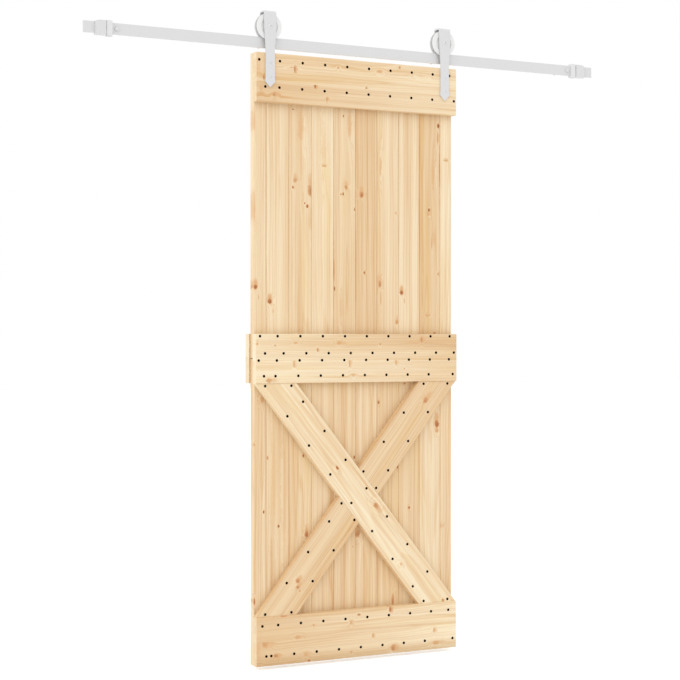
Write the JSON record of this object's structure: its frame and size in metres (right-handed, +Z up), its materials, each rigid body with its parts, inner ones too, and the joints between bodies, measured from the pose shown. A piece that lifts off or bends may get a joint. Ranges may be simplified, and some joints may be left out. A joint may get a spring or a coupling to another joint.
{
  "type": "sliding barn door",
  "caption": "Two-part tongue-and-groove plank door with a cross-braced lower half, hung from a flat wall track by strap hangers with grooved ball-bearing wheels.",
  "frame": {"origin": "on the wall plane, at the middle of the line of wall fixings behind the track", "axes": "+X along the track, +Y into the wall, +Z up; the door's front faces -Y"},
  "size_m": [2.03, 0.1027, 2.2442],
  "materials": {
    "plank_pine": "bare pine, planed",
    "rail_pine": "bare pine, planed",
    "white_steel": "white powder coat, satin",
    "wheel_white": "white moulded nylon",
    "white_rubber": "pale rubber, matte",
    "bright_steel": "bright",
    "black_screw": "black phosphate"
  },
  "bodies": {
    "track": {"track_bar": "white_steel", "standoffs": "white_steel", "track_bolts": "white_steel", "track_washers": "white_steel", "end_stop_left": "white_steel", "end_stop_right": "white_steel", "bumper_left": "white_rubber", "bumper_right": "white_rubber", "stop_set_screws": "white_steel"},
    "door": {"upper_plank_1": "plank_pine", "upper_plank_2": "plank_pine", "upper_plank_3": "plank_pine", "upper_plank_4": "plank_pine", "upper_plank_5": "plank_pine", "upper_plank_6": "plank_pine", "upper_plank_7": "plank_pine", "upper_plank_8": "plank_pine", "upper_plank_9": "plank_pine", "upper_plank_10": "plank_pine", "lower_plank_1": "plank_pine", "lower_plank_2": "plank_pine", "lower_plank_3": "plank_pine", "lower_plank_4": "plank_pine", "lower_plank_5": "plank_pine", "lower_plank_6": "plank_pine", "lower_plank_7": "plank_pine", "lower_plank_8": "plank_pine", "lower_plank_9": "plank_pine", "lower_plank_10": "plank_pine", "top_rail": "rail_pine", "mid_rail": "rail_pine", "bottom_rail": "rail_pine", "back_mid_rail": "rail_pine", "long_brace": "rail_pine", "upper_cross_brace": "rail_pine", "lower_cross_brace": "rail_pine", "top_rail_screws": "black_screw", "mid_rail_screws": "black_screw", "bottom_rail_screws": "black_screw", "brace_screws": "black_screw", "back_rail_screws": "black_screw", "hanger_strap_left": "white_steel", "hanger_strap_right": "white_steel", "hanger_bolts": "white_steel", "hanger_washers": "white_steel", "hanger_nuts": "white_steel", "axle_bolts": "white_steel", "axle_nuts": "white_steel", "axle_spacers": "bright_steel", "bearing_inner_races": "bright_steel"},
    "wheel_left": {"wheel_left": "wheel_white", "bearing_outer_race_left": "bright_steel", "bearing_balls_left": "bright_steel"},
    "wheel_right": {"wheel_right": "wheel_white", "bearing_outer_race_right": "bright_steel", "bearing_balls_right": "bright_steel"}
  },
  "joints": [
    {"name": "door_slide", "type": "slide", "parent": "track", "child": "door", "axis": [1, 0, 0], "range_m": [-0.529, 0.529]},
    {"name": "wheel_left_turn", "type": "hinge", "parent": "door", "child": "wheel_left", "pos_m": [-0.35, -0.079, 0.0552], "axis": [0, 1, 0], "continuous": true},
    {"name": "wheel_right_turn", "type": "hinge", "parent": "door", "child": "wheel_right", "pos_m": [0.35, -0.079, 0.0552], "axis": [0, 1, 0], "continuous": true}
  ],
  "couplings": [
    {"joint": "wheel_left_turn", "follows": "door_slide", "rad_per_m": 27.778},
    {"joint": "wheel_right_turn", "follows": "door_slide", "rad_per_m": 27.778}
  ]
}
